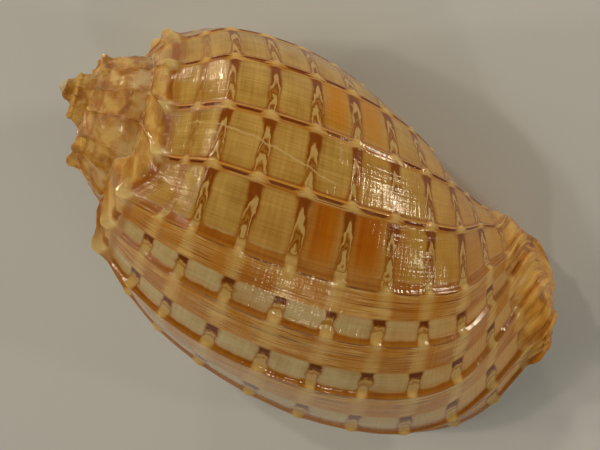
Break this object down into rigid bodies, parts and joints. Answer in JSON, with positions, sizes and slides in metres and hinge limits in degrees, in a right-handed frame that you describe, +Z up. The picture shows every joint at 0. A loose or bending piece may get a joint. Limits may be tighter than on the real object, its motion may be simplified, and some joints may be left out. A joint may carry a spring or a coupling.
{
  "type": "harp shell",
  "caption": "Empty harp seashell with a short spiral spire, raised ribs across the large body whorl and a wide aperture underneath.",
  "frame": {"origin": "centre of the shell's footprint box, at the level of the surface it rests on", "axes": "+X from the spire towards the anterior tip, +Z up out of the back of the shell, -Z out of the aperture"},
  "size_m": [0.0764, 0.0486, 0.0361],
  "materials": {
    "shell": "gloss"
  },
  "bodies": {
    "root": {"shell": "shell"}
  },
  "joints": []
}
